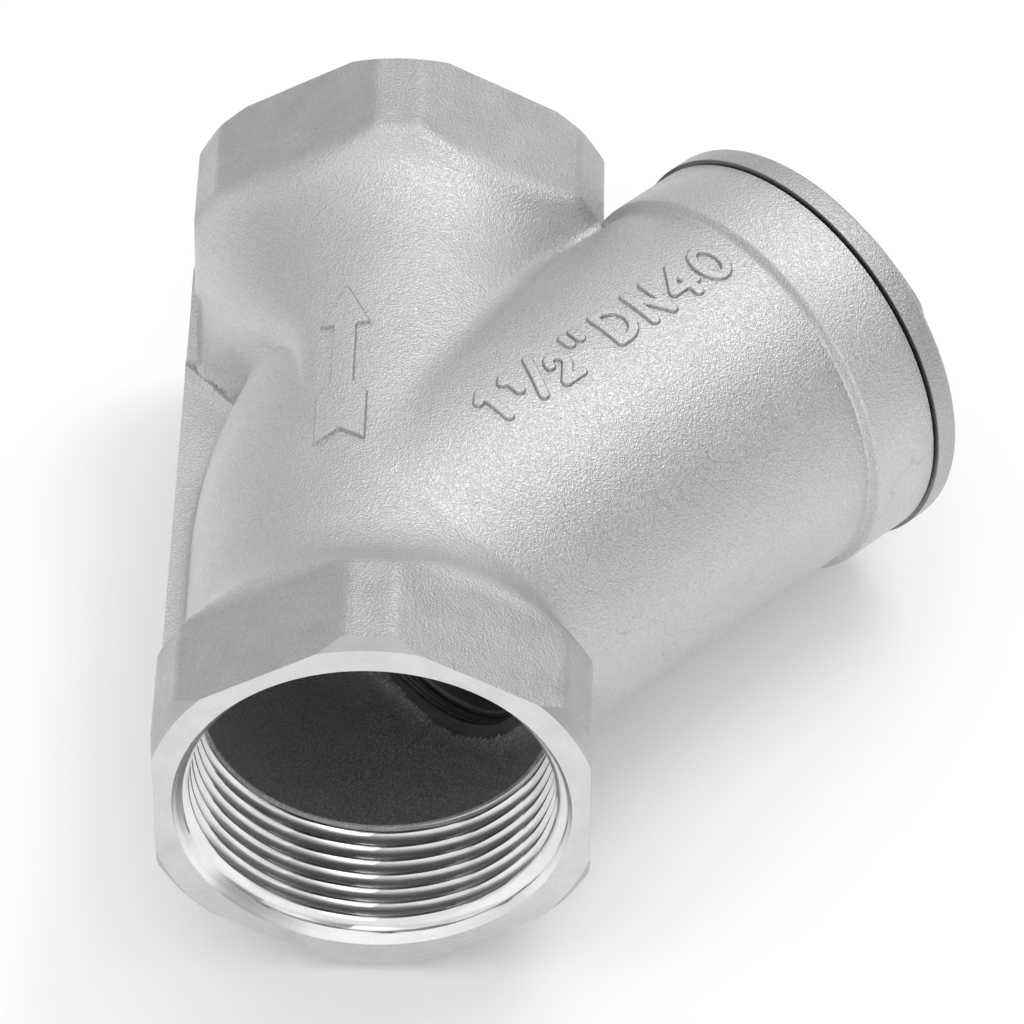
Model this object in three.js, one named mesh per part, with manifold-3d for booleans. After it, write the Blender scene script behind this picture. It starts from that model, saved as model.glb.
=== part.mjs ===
// Y strainer with female threaded ends, nominal size DN 40 (1 1/2 inch).
// Millimetres. The run axis lies along +Y, the inlet faces -Y, the branch leans 45 degrees from the run
// towards +X, and +Z is up. The origin is the centre of the underside of the whole object's box.
//
// Everything is laid out from the junction, the point where the run axis and the branch axis cross.
// Distances along the run are Y; distances along the branch are called "along the branch".

import * as THREE from 'three';
import { mergeVertices } from 'three/addons/utils/BufferGeometryUtils.js';
import Module from 'manifold-3d';

const wasm = await Module();
wasm.setup();

// Run: distances of the two end faces from the junction.
const INLET_LENGTH = 32.5;
const OUTLET_LENGTH = 74.5;

// Hexagonal hubs, with their corners at +Z and -Z cut back to narrow flat facets.
const HUB_ACROSS_FLATS = 53;
const HUB_FACET_RADIUS = 28.9;
const HUB_LENGTH = 14.8;
const HUB_FACE_RADIUS = 27.7;
const HUB_CHAMFER_SLOPE = 0.86;

// Behind each hub a steep step falls to the flats, and a gentler slope then falls to the run tube.
const SHOULDER_STEP = 1.9;
const SHOULDER_FOOT = 4.75;
const SHOULDER_FOOT_RADIUS = 25.1;
const SHOULDER_LENGTH = 7.6;

// Run tube, as cast. It starts TUBE_INSET behind the end faces, inside the hubs.
const TUBE_OUTER_RADIUS = 24.4;
const TUBE_INNER_RADIUS = 21.6;
const TUBE_INSET = 2;
const WALL = TUBE_OUTER_RADIUS - TUBE_INNER_RADIUS;

// The inlet passage bends towards the branch on its way to the screen seat.
const BEND_START = 8;
const BEND_RADIUS = 50.4;
const BEND_ANGLE = THREE.MathUtils.degToRad(50);

// Female pipe threads of the run ends, as plain bores.
const THREAD_RADIUS = 22.4;
const THREAD_DEPTH = 16.6;
const THREAD_MOUTH_RADIUS = 24.1;
const THREAD_MOUTH_DEPTH = 1.6;

// Branch.
const BRANCH_ANGLE = THREE.MathUtils.degToRad(45);
const BRANCH_OUTER_RADIUS = 25.85;
const BRANCH_ROOT_RADIUS = 24;
const BRANCH_ROOT = 2;
const BRANCH_ROOT_LENGTH = 12;
const COLLAR_RADIUS = 27;
const COLLAR_START = 57.5;
const COLLAR_RAMP = 2.5;
const BRANCH_END = 70.9;
const BRANCH_BORE_RADIUS = 22.7;
const BRANCH_THREAD_START = 55;

// Partition between the inlet and outlet chambers, with the bored seat of the screen.
const PARTITION_INLET_SIDE = 6.7;
const PARTITION_OUTLET_SIDE = 11.3;
const SEAT_HOLE_RADIUS = 19.1;
const SEAT_LEDGE = 8.5;
const SEAT_BORE_RADIUS = 20.5;

// Outer notch on the left flank, between the inlet bend and the outlet tube. One side is square to the
// branch; the other leans back to the tube. The notch ends NOTCH_TOP short of the middle of the tube.
const NOTCH_FLOOR_SIDE = 12.8;
const NOTCH_NORMAL_ANGLE = THREE.MathUtils.degToRad(216.9);
const NOTCH_OFFSET = -8.24;
const NOTCH_TOP = 12;

// Flat web on the left flank, in the middle plane, from hub to hub. It is thinner in the notch, inside a rim.
const WEB_REACH = 27;
const WEB_RIM = 1.6;
const WEB_THICKNESS = 3.6;
const WEB_FLOOR_THICKNESS = 1.6;

// Gasket in the mouth of the branch.
const GASKET_POCKET_DEPTH = 1.9;
const GASKET_POCKET_RADIUS = 25.2;
const GASKET_INNER_RADIUS = 22.8;
const GASKET_OUTER_RADIUS = 24.9;

// Screwed cap.
const FLANGE_GAP = 0.4;
const FLANGE_RADIUS = 27.5;
const FLANGE_THICKNESS = 3.4;
const FLANGE_EDGE = 0.4;
const CAP_THREAD_RADIUS = 22;
const CAP_THREAD_LENGTH = 14;
const CAP_THREAD_EDGE = 1;
const CAP_RECESS_RADIUS = 20.5;
const CAP_RECESS_FLOOR = 1;
const BOSS_ACROSS_FLATS = 24;
const BOSS_CORNER_RADIUS = 13.75;
const BOSS_HEIGHT = 10.4;
const BOSS_CHAMFER_RADIUS = 12.6;
const BOSS_CHAMFER_SLOPE = 1.7;

// Screen.
const SCREEN_OUTER_RADIUS = 20.1;
const SHEET_OUTER_RADIUS = 19.9;
const SHEET_THICKNESS = 0.8;
const LINER_OUTER_RADIUS = 18.8;
const LINER_THICKNESS = 0.4;
const RING_INNER_RADIUS = 18.2;
const RING_LENGTH = 3;

// Clearance between pieces that touch.
const GAP = 0.3;

// How far a solid that is joined on or cut away runs past the face that it meets.
const OVERLAP = 1;

const RADIAL_SEGMENTS = 48;
const BAR_STEPS = 20;

const branchDirection = new THREE.Vector3(Math.sin(BRANCH_ANGLE), Math.cos(BRANCH_ANGLE), 0);
const notchNormal = new THREE.Vector3(Math.cos(NOTCH_NORMAL_ANGLE), Math.sin(NOTCH_NORMAL_ANGLE), 0);

const flangeStart = BRANCH_END + FLANGE_GAP;
const flangeEnd = flangeStart + FLANGE_THICKNESS;
const boundsRight = (flangeEnd - FLANGE_EDGE + FLANGE_RADIUS) * Math.SQRT1_2;
const origin = new THREE.Vector3(
  (WEB_REACH - boundsRight) / 2,
  (INLET_LENGTH - OUTLET_LENGTH) / 2,
  HUB_FACET_RADIUS,
);

// ---- Solids ------------------------------------------------------------------------------------------

// A closed geometry as a solid that can be joined and cut.
function solid(geometry) {
  const bare = geometry.clone();
  bare.deleteAttribute('normal');
  bare.deleteAttribute('uv');
  const merged = mergeVertices(bare, 1e-4);
  const index = merged.index.array;
  const triangles = [];
  for (let i = 0; i < index.length; i += 3) {
    const [a, b, c] = [index[i], index[i + 1], index[i + 2]];
    if (a !== b && b !== c && c !== a) {
      triangles.push(a, b, c);
    }
  }
  return new wasm.Manifold(new wasm.Mesh({
    numProp: 3,
    vertProperties: new Float32Array(merged.attributes.position.array),
    triVerts: new Uint32Array(triangles),
  }));
}

function geometryOf(body) {
  const mesh = body.getMesh();
  const geometry = new THREE.BufferGeometry();
  geometry.setAttribute('position', new THREE.BufferAttribute(new Float32Array(mesh.vertProperties), 3));
  geometry.setIndex(new THREE.BufferAttribute(new Uint32Array(mesh.triVerts), 1));
  geometry.computeVertexNormals();
  return geometry;
}

function union(solids) {
  return solids.reduce((joined, next) => joined.add(next));
}

// A turned piece about +Y. The profile is a list of [radius, y] pairs.
function turned(profile, segments = RADIAL_SEGMENTS) {
  return new THREE.LatheGeometry(profile.map(([r, y]) => new THREE.Vector2(r, y)), segments);
}

function turnedSolid(profile) {
  return solid(turned([[0, profile[0][1]], ...profile, [0, profile.at(-1)[1]]]));
}

function cylinder(radius, from, to) {
  return turnedSolid([[radius, from], [radius, to]]);
}

// A plain ring, as a closed profile turned about +Y.
function ring(inner, outer, from, to) {
  return turned([[inner, from], [outer, from], [outer, to], [inner, to], [inner, from]]);
}

// Turns a solid made about +Y so that it lies along the branch.
function alongBranch(body) {
  return body.rotate([0, 0, -THREE.MathUtils.radToDeg(BRANCH_ANGLE)]);
}

// A regular hexagon whose six corners are cut back to flats at facetRadius, one corner at the top.
function hexagonShape(acrossFlats, facetRadius) {
  const flat = acrossFlats / 2;
  const corner = Math.PI / 6;
  const halfWidth = (facetRadius - flat * Math.cos(corner)) / Math.sin(corner);
  const points = [];
  for (let side = 0; side < 6; side += 1) {
    const angle = (side * Math.PI) / 3;
    for (const along of [-halfWidth, halfWidth]) {
      points.push(new THREE.Vector2(
        flat * Math.cos(angle) - along * Math.sin(angle),
        flat * Math.sin(angle) + along * Math.cos(angle),
      ));
    }
  }
  return new THREE.Shape(points);
}

function hexagonPrism(acrossFlats, facetRadius, from, to) {
  const geometry = new THREE.ExtrudeGeometry(hexagonShape(acrossFlats, facetRadius), {
    depth: to - from,
    bevelEnabled: false,
  });
  geometry.rotateX(-Math.PI / 2);
  geometry.translate(0, from, 0);
  return solid(geometry);
}

// A box that fills the half space on the side of a plane that the horizontal normal points away from.
function halfSpace(normal, offset) {
  const size = 4 * OUTLET_LENGTH;
  const geometry = new THREE.BoxGeometry(size, size, size);
  geometry.translate(-size / 2, 0, 0);
  geometry.rotateZ(Math.atan2(normal.y, normal.x));
  geometry.translate(normal.x * offset, normal.y * offset, 0);
  return solid(geometry);
}

// ---- Body --------------------------------------------------------------------------------------------

// One hub with its face at y = 0 and its length towards +Y, with a shoulder down to the run tube.
function hub() {
  const flat = HUB_ACROSS_FLATS / 2;
  const step = HUB_FACET_RADIUS - flat;
  const widest = HUB_FACET_RADIUS + step;
  return hexagonPrism(HUB_ACROSS_FLATS, HUB_FACET_RADIUS, 0, HUB_LENGTH + SHOULDER_LENGTH)
    .intersect(turnedSolid([
      [HUB_FACE_RADIUS, 0],
      [widest, (widest - HUB_FACE_RADIUS) / HUB_CHAMFER_SLOPE],
      [widest, HUB_LENGTH - SHOULDER_STEP],
      [flat, HUB_LENGTH + SHOULDER_STEP],
      [SHOULDER_FOOT_RADIUS, HUB_LENGTH + SHOULDER_FOOT],
      [TUBE_OUTER_RADIUS, HUB_LENGTH + SHOULDER_LENGTH],
    ]));
}

// The bore of one run end, with its face at y = 0: a coned mouth, the thread and the cast bore behind it.
function hubBore() {
  return turnedSolid([
    [THREAD_MOUTH_RADIUS + OVERLAP, -OVERLAP],
    [THREAD_MOUTH_RADIUS, 0],
    [THREAD_RADIUS, THREAD_MOUTH_DEPTH],
    [THREAD_RADIUS, THREAD_DEPTH],
    [TUBE_INNER_RADIUS, THREAD_DEPTH],
    [TUBE_INNER_RADIUS, HUB_LENGTH + SHOULDER_LENGTH],
  ]);
}

function atInlet(body) {
  return body.translate([0, -INLET_LENGTH, 0]);
}

function atOutlet(body) {
  return body.rotate([0, 0, 180]).translate([0, OUTLET_LENGTH, 0]);
}

// The middle line of the inlet passage: straight, then an arc towards the branch.
class InletLine extends THREE.Curve {
  getPoint(t, target = new THREE.Vector3()) {
    const straight = BEND_START + INLET_LENGTH - TUBE_INSET;
    const along = t * (straight + BEND_RADIUS * BEND_ANGLE) - straight;
    const angle = Math.max(along, 0) / BEND_RADIUS;
    return target.set(
      BEND_RADIUS * (1 - Math.cos(angle)),
      BEND_START + Math.min(along, 0) + BEND_RADIUS * Math.sin(angle),
      0,
    );
  }
}

// The inlet passage as one round bar.
function inletBar(radius) {
  const section = new THREE.Shape().absarc(0, 0, radius, 0, 2 * Math.PI);
  return solid(new THREE.ExtrudeGeometry(section, {
    steps: BAR_STEPS,
    curveSegments: RADIAL_SEGMENTS / 2,
    extrudePath: new InletLine(),
    bevelEnabled: false,
  }));
}

// A plate of even thickness in the middle plane.
function plate(outline, thickness) {
  const shape = new THREE.Shape(outline.map(([x, y]) => new THREE.Vector2(x, y)));
  const geometry = new THREE.ExtrudeGeometry(shape, { depth: thickness, bevelEnabled: false });
  geometry.translate(0, 0, -thickness / 2);
  return solid(geometry);
}

// The web: a rim along the left edge, a thick plate up to the notch, and a thin floor in the notch.
function web() {
  const left = -WEB_REACH;
  const rim = left + WEB_RIM;
  const notchLine = NOTCH_FLOOR_SIDE / Math.SQRT1_2;
  const low = -INLET_LENGTH + HUB_LENGTH - OVERLAP;
  const high = OUTLET_LENGTH - HUB_LENGTH + OVERLAP;
  const thick = plate([
    [left, low],
    [0, low],
    [0, notchLine],
    [rim, notchLine - rim],
    [rim, high],
    [left, high],
  ], WEB_THICKNESS);
  const floor = plate([[left, low], [0, low], [0, high], [left, high]], WEB_FLOOR_THICKNESS);
  return thick.add(floor);
}

function branchOutside() {
  return alongBranch(turnedSolid([
    [BRANCH_ROOT_RADIUS, BRANCH_ROOT],
    [BRANCH_OUTER_RADIUS, BRANCH_ROOT + BRANCH_ROOT_LENGTH],
    [BRANCH_OUTER_RADIUS, COLLAR_START],
    [COLLAR_RADIUS, COLLAR_START + COLLAR_RAMP],
    [COLLAR_RADIUS, BRANCH_END - FLANGE_EDGE],
    [COLLAR_RADIUS - FLANGE_EDGE, BRANCH_END],
  ]));
}

function branchBore() {
  const pocketFloor = BRANCH_END - GASKET_POCKET_DEPTH;
  return alongBranch(turnedSolid([
    [BRANCH_BORE_RADIUS, PARTITION_OUTLET_SIDE],
    [BRANCH_BORE_RADIUS, BRANCH_THREAD_START],
    [THREAD_RADIUS, BRANCH_THREAD_START],
    [THREAD_RADIUS, pocketFloor],
    [GASKET_POCKET_RADIUS, pocketFloor],
    [GASKET_POCKET_RADIUS, BRANCH_END + OVERLAP],
  ]));
}

function seatBore() {
  return alongBranch(turnedSolid([
    [SEAT_HOLE_RADIUS, 0],
    [SEAT_HOLE_RADIUS, SEAT_LEDGE],
    [SEAT_BORE_RADIUS, SEAT_LEDGE],
    [SEAT_BORE_RADIUS, BRANCH_THREAD_START],
  ]));
}

// What the leaning side of the notch takes off the outlet tube, or off its chamber one wall further in.
function notchCut(depth) {
  return halfSpace(notchNormal.clone().negate(), depth - NOTCH_OFFSET)
    .intersect(halfSpace(new THREE.Vector3(1, 0, 0), depth - NOTCH_TOP));
}

function makeBody() {
  const inletOutside = inletBar(TUBE_OUTER_RADIUS).intersect(halfSpace(branchDirection, NOTCH_FLOOR_SIDE));
  const outletOutside = cylinder(TUBE_OUTER_RADIUS, 0, OUTLET_LENGTH - TUBE_INSET).subtract(notchCut(0));
  const outside = union([
    atInlet(hub()),
    atOutlet(hub()),
    inletOutside,
    outletOutside,
    branchOutside(),
    web(),
  ]);
  const inletChamber = inletBar(TUBE_INNER_RADIUS)
    .intersect(halfSpace(branchDirection, PARTITION_INLET_SIDE));
  const outletChamber = cylinder(TUBE_INNER_RADIUS, 0, OUTLET_LENGTH - HUB_LENGTH)
    .subtract(notchCut(WALL))
    .subtract(halfSpace(branchDirection, PARTITION_OUTLET_SIDE));
  return outside
    .subtract(atInlet(hubBore()))
    .subtract(atOutlet(hubBore()))
    .subtract(inletChamber)
    .subtract(outletChamber)
    .subtract(branchBore())
    .subtract(seatBore());
}

// ---- Cap, gasket and screen, made along the branch ----------------------------------------------------

function makeCap() {
  const skirtEnd = flangeStart - CAP_THREAD_LENGTH;
  const disc = turnedSolid([
    [FLANGE_RADIUS - FLANGE_EDGE, flangeStart],
    [FLANGE_RADIUS, flangeStart + FLANGE_EDGE],
    [FLANGE_RADIUS, flangeEnd - FLANGE_EDGE],
    [FLANGE_RADIUS - FLANGE_EDGE, flangeEnd],
  ]);
  const skirt = turnedSolid([
    [CAP_THREAD_RADIUS - CAP_THREAD_EDGE, skirtEnd],
    [CAP_THREAD_RADIUS, skirtEnd + CAP_THREAD_EDGE],
    [CAP_THREAD_RADIUS, flangeStart + OVERLAP],
  ]);
  const recess = cylinder(CAP_RECESS_RADIUS, skirtEnd - OVERLAP, flangeStart - CAP_RECESS_FLOOR);
  const bossStart = flangeEnd - OVERLAP;
  const bossEnd = flangeEnd + BOSS_HEIGHT;
  const around = BOSS_CORNER_RADIUS + OVERLAP;
  const boss = hexagonPrism(BOSS_ACROSS_FLATS, BOSS_CORNER_RADIUS, bossStart, bossEnd);
  const chamfered = turnedSolid([
    [around, bossStart],
    [around, bossEnd - (around - BOSS_CHAMFER_RADIUS) / BOSS_CHAMFER_SLOPE],
    [BOSS_CHAMFER_RADIUS, bossEnd],
  ]);
  return disc.add(skirt).subtract(recess).add(boss.intersect(chamfered));
}

const steel = { color: 0xc4c4c1, roughness: 0.45, metalness: 1 };
const bright = { color: 0xd4d4d2, roughness: 0.25, metalness: 1 };
const ptfe = { color: 0xe9e7e1, roughness: 0.5, metalness: 0 };

function named(name, geometry, finish) {
  const mesh = new THREE.Mesh(geometry, new THREE.MeshStandardMaterial(finish));
  mesh.name = name;
  return mesh;
}

const seatRingStart = SEAT_LEDGE + GAP;
const capRingEnd = flangeStart - CAP_RECESS_FLOOR - GAP;
const sheetStart = seatRingStart + RING_LENGTH + GAP;
const sheetEnd = capRingEnd - RING_LENGTH - GAP;
const gasketStart = BRANCH_END - GASKET_POCKET_DEPTH + GAP;

const branch = new THREE.Group();
branch.rotation.z = -BRANCH_ANGLE;
branch.add(
  named('cap', geometryOf(makeCap()), steel),
  named('cap_gasket', ring(GASKET_INNER_RADIUS, GASKET_OUTER_RADIUS, gasketStart, flangeStart - GAP), ptfe),
  named('screen_seat_ring',
    ring(RING_INNER_RADIUS, SCREEN_OUTER_RADIUS, seatRingStart, seatRingStart + RING_LENGTH), bright),
  named('screen_cap_ring',
    ring(RING_INNER_RADIUS, SCREEN_OUTER_RADIUS, capRingEnd - RING_LENGTH, capRingEnd), bright),
  named('screen_sheet',
    ring(SHEET_OUTER_RADIUS - SHEET_THICKNESS, SHEET_OUTER_RADIUS, sheetStart, sheetEnd), bright),
  named('screen_liner',
    ring(LINER_OUTER_RADIUS - LINER_THICKNESS, LINER_OUTER_RADIUS, sheetStart, sheetEnd), bright),
);

const strainer = new THREE.Group();
strainer.position.copy(origin);
strainer.add(named('body', geometryOf(makeBody()), steel), branch);

const object = new THREE.Group();
object.add(strainer);

export default object;
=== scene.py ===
"""Looks of a cast stainless Y strainer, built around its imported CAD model.

Shapes are laid out in millimetres from the junction, the point where the run axis (+Y) and the branch axis
cross. make_object turns them into metres at their place in the CAD model. The castings are fields of signed
distance with smooth joins, which a dual contour turns into meshes; machined faces and threads are cut after.
"""

import math

import bpy
import numpy as np
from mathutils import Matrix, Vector


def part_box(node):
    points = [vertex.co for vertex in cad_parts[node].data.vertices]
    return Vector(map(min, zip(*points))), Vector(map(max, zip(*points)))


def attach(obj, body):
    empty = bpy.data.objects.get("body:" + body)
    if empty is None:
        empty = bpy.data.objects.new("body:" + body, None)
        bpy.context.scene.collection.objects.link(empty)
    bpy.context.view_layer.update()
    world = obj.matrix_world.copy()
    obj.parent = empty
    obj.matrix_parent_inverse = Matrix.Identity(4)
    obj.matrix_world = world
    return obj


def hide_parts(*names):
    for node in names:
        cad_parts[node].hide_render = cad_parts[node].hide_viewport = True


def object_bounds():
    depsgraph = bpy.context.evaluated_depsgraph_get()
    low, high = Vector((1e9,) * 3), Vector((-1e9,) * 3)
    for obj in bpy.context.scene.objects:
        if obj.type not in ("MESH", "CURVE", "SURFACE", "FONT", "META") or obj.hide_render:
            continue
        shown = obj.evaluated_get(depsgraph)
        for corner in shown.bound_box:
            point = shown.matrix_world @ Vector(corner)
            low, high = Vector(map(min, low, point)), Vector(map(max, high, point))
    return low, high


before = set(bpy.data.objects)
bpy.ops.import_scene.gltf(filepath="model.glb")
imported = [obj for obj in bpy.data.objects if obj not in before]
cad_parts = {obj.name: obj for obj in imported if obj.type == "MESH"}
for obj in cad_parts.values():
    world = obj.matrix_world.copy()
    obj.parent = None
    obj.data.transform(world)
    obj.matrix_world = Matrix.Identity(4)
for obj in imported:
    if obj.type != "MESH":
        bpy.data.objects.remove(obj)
cad_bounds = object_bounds()

MM = 0.001
ROOT_HALF = math.sqrt(0.5)

# Run and hubs. The margins keep the casting inside the CAD box.
INLET_LENGTH = 32.5
HUB_FLAT = 26.5
HUB_FACET = 28.9
FACET_MARGIN = 0.02
HUB_LENGTH = 14.8
HUB_FACE_RADIUS = 27.7
HUB_CHAMFER_SLOPE = 0.86
HUB_CHAMFER_DEPTH = 3.6
SHOULDER_STEP = 1.9
SHOULDER_LENGTH = 7.6
TUBE_RADIUS = 24.4
WALL = 2.8
BEND_START = 8.0
BEND_RADIUS = 50.4

# Flat web in the middle plane. WEB_THICK and WEB_FLOOR are half thicknesses, and WEB_EDGE is the line
# a * x + b * y = c along which the notch cuts the thick part.
WEB_REACH = 27.0
WEB_MARGIN = 0.06
WEB_THICK = 1.65
WEB_FLOOR = 0.8
WEB_RIM = 1.6
WEB_EDGE = (0.755, 0.656, 8.63)
WEB_ON_HUB = 2.0
WEB_LIP = 0.8
LIP_WIDTH = 0.8

# Branch, partition, seat and notch.
ROOT_RADIUS = 24.3
ROOT_START = 2.0
ROOT_LENGTH = 14.0
BRANCH_RADIUS = 25.85
COLLAR_RADIUS = 27.0
COLLAR_START = 60.6
COLLAR_RAMP = 1.1
BRANCH_END = 70.9
BRANCH_BORE = 22.7
PARTITION = (6.7, 11.3)
SEAT_HOLE = 19.1
SEAT_LEDGE = 8.5
SEAT_BORE = 20.5
NOTCH_SIDE = 13.8
NOTCH_NORMAL = (math.cos(math.radians(216.9)), math.sin(math.radians(216.9)))
NOTCH_OFFSET = -8.24
NOTCH_TOP = 12.0

# Threads: 11 to the inch. The run threads taper; the cap's thread is parallel.
PITCH = 2.309
THREAD_DEPTH = 1.45
THREAD_MINOR = 22.45
THREAD_LENGTH = 16.6
THREAD_TAPER = 1 / 32
THREAD_ROUNDING = 0.45
ROWS_PER_PITCH = 12
MOUTH_RADIUS = 24.06

# Cap, gasket and screen. Pairs are (start, end) along the branch or (inner, outer) radii.
GAP = 0.3
FLANGE = (71.3, 74.7)
FLANGE_RADIUS = 27.5
FLANGE_BEVEL = 0.7
EDGE_BREAK = 0.08
BOSS_FLAT = 12.0
BOSS_FACET = BOSS_FLAT * 1.145
BOSS_END = 85.1
CROWN_SLOPE = (0.5, 0.87)
SKIRT_END = 57.3
SKIRT_RADIUS = 22.05
SKIRT_BORE = 20.55
CAP_THREAD_DEPTH = 0.95
BORE_END = SKIRT_END - 3
POCKET_FLOOR = 69.0
POCKET_RADIUS = 25.2
GASKET_RADII = (22.8, 24.9)
RING_RADII = (18.2, 20.1)
RING_LENGTH = 3.0
LINER_RADII = (18.4, 18.8)
SHEET_RADIUS = 19.9
SHEET_THICKNESS = 0.8
SHEET_COLUMNS = 48
SHEET_ROWS = 21
HOLE_RADIUS = 0.75
HOLE_CORNERS = 16

# Fineness of the meshes: cells of the dual contours and of the raised marks, segments of a turned piece, and
# the angle in degrees from which an edge is sharp.
BODY_STEP = 0.62
BOSS_STEP = 0.5
MARK_STEP = 0.125
THREAD_SEGMENTS = 150
RING_SEGMENTS = 96
SHARP_ANGLE = 32

body_low, body_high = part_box("body")
junction = Vector((body_low.x + WEB_REACH * MM, body_low.y + INLET_LENGTH * MM, body_low.z + HUB_FACET * MM))
OUTLET_LENGTH = (body_high.y - junction.y) / MM


# ---- Meshes ----

def along_branch(points):
    """Points made about +Y, as (across, along, up), turned to lie along the branch."""
    across, along, up = points[:, 0], points[:, 1], points[:, 2]
    return np.stack([(along + across) * ROOT_HALF, (along - across) * ROOT_HALF, up], axis=1)


def make_object(name, points, faces, materials, smooth_angle=35):
    """A mesh object from points in millimetres about the junction and faces as lists of indices."""
    mesh = bpy.data.meshes.new(name)
    placed = np.asarray(points) * MM + np.array(junction)
    mesh.from_pydata(placed.tolist(), [], [list(face) for face in faces])
    mesh.update()
    mesh.polygons.foreach_set("use_smooth", np.ones(len(mesh.polygons), bool))
    mesh.set_sharp_from_angle(angle=math.radians(smooth_angle))
    for material in materials:
        mesh.materials.append(material)
    piece = bpy.data.objects.new(name, mesh)
    bpy.context.scene.collection.objects.link(piece)
    return piece


def dual_contour(field, low, high, step):
    """Points and quads of the surface where the field is zero. Sharp edges of the field stay sharp."""
    low = np.asarray(low, float)
    counts = np.ceil((np.asarray(high) - low) / step).astype(int) + 1
    axes = [low[a] + step * np.arange(counts[a]) for a in range(3)]
    values = field(*np.meshgrid(*axes, indexing="ij"))
    inside = values < 0
    crossings, rings = [], []
    for a in range(3):
        near = [slice(None)] * 3
        far = [slice(None)] * 3
        near[a], far[a] = slice(0, -1), slice(1, None)
        near, far = tuple(near), tuple(far)
        change = inside[near] != inside[far]
        index = np.argwhere(change)
        share = values[near][change] / (values[near][change] - values[far][change])
        point = low + step * index
        point[:, a] += step * share
        b, c = (a + 1) % 3, (a + 2) % 3
        ring = []
        for back_b, back_c in ((0, 0), (1, 0), (1, 1), (0, 1)):
            cell = index.copy()
            cell[:, b] -= back_b
            cell[:, c] -= back_c
            ring.append((cell[:, 0] * counts[1] + cell[:, 1]) * counts[2] + cell[:, 2])
        ring = np.stack(ring, axis=1)
        outward = inside[near][change]
        ring[~outward] = ring[~outward][:, ::-1]
        crossings.append(point)
        rings.append(ring)
    point = np.concatenate(crossings)
    ring = np.concatenate(rings)
    normal = gradient(field, point, step * 0.02)
    cells, owner = np.unique(ring, return_inverse=True)
    owner = owner.reshape(ring.shape)
    vertices = fit_vertices(point, normal, owner, len(cells))
    corner = np.stack(np.unravel_index(cells, counts), axis=1) * step + low
    return np.clip(vertices, corner - 0.1 * step, corner + 1.1 * step), owner


def gradient(field, point, reach):
    """The unit direction in which the field grows fastest."""
    parts = []
    for a in range(3):
        ahead, behind = point.copy(), point.copy()
        ahead[:, a] += reach
        behind[:, a] -= reach
        parts.append(field(*ahead.T) - field(*behind.T))
    slope = np.stack(parts, axis=1)
    return slope / np.maximum(np.linalg.norm(slope, axis=1), 1e-9)[:, None]


def fit_vertices(point, normal, owner, total, pull=0.08):
    """For each cell, the point nearest to all the tangent planes of its crossings."""
    count = np.zeros(total)
    middle = np.zeros((total, 3))
    matrix = np.zeros((total, 3, 3))
    target = np.zeros((total, 3))
    offset = (point * normal).sum(1)
    outer = normal[:, :, None] * normal[:, None, :]
    for side in range(4):
        cell = owner[:, side]
        count += np.bincount(cell, minlength=total)
        for a in range(3):
            middle[:, a] += np.bincount(cell, point[:, a], total)
            target[:, a] += np.bincount(cell, normal[:, a] * offset, total)
            for b in range(3):
                matrix[:, a, b] += np.bincount(cell, outer[:, a, b], total)
    middle /= count[:, None]
    matrix += pull * np.eye(3)
    target += pull * middle
    return np.linalg.solve(matrix, target[:, :, None])[:, :, 0]


def turned(rows, segments):
    """Points and faces of a closed turned solid about +Y. Each row is (y, radius or radii); the first and
    last rows are closed by a point on the axis."""
    angle = np.arange(segments) * 2 * math.pi / segments
    points = [np.array([[0, rows[0][0], 0]])]
    for y, radius in rows:
        radii = np.broadcast_to(radius, segments)
        height = np.full(segments, float(y))
        points.append(np.stack([radii * np.cos(angle), height, radii * np.sin(angle)], axis=1))
    points.append(np.array([[0, rows[-1][0], 0]]))
    here = np.arange(segments)
    after = (here + 1) % segments
    last = 1 + len(rows) * segments
    faces = [(0, 1 + i, 1 + j) for i, j in zip(here, after)]
    for row in range(len(rows) - 1):
        start = 1 + row * segments
        below, above = start + here, start + segments + here
        faces += [(a, c, d, b) for a, b, c, d in
                  zip(below, start + after, above, start + segments + after)]
    start = last - segments
    faces += [(last, start + j, start + i) for i, j in zip(here, after)]
    return np.concatenate(points), faces


def ring_of(profile, segments):
    """Points and faces of a ring about +Y whose closed section is a list of (radius, y)."""
    angle = np.arange(segments) * 2 * math.pi / segments
    rows = [np.stack([r * np.cos(angle), np.full(segments, float(y)), r * np.sin(angle)], axis=1)
            for r, y in profile]
    faces = []
    for row in range(len(profile)):
        start, following = row * segments, ((row + 1) % len(profile)) * segments
        for i in range(segments):
            j = (i + 1) % segments
            faces.append((start + i, start + j, following + j, following + i))
    return np.concatenate(rows), faces


def cut(piece, tool, operation="DIFFERENCE"):
    """Joins or cuts the piece with the tool, which is then deleted."""
    modifier = piece.modifiers.new("cut", "BOOLEAN")
    modifier.operation = operation
    modifier.solver = "MANIFOLD"
    modifier.object = tool
    apply_modifiers(piece)
    bpy.data.objects.remove(tool)


def apply_modifiers(piece):
    """Replaces the piece's mesh with what its modifiers make of it."""
    graph = bpy.context.evaluated_depsgraph_get()
    mesh = bpy.data.meshes.new_from_object(piece.evaluated_get(graph))
    piece.modifiers.clear()
    old = piece.data
    piece.data = mesh
    bpy.data.meshes.remove(old)


# ---- Fields ----

def smooth_min(a, b, reach):
    """The lower of two fields, with the crease between them filled over the reach."""
    share = np.clip(0.5 + 0.5 * (b - a) / reach, 0, 1)
    return b * (1 - share) + a * share - reach * share * (1 - share)


def smooth_max(a, b, reach):
    return -smooth_min(-a, -b, reach)


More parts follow.
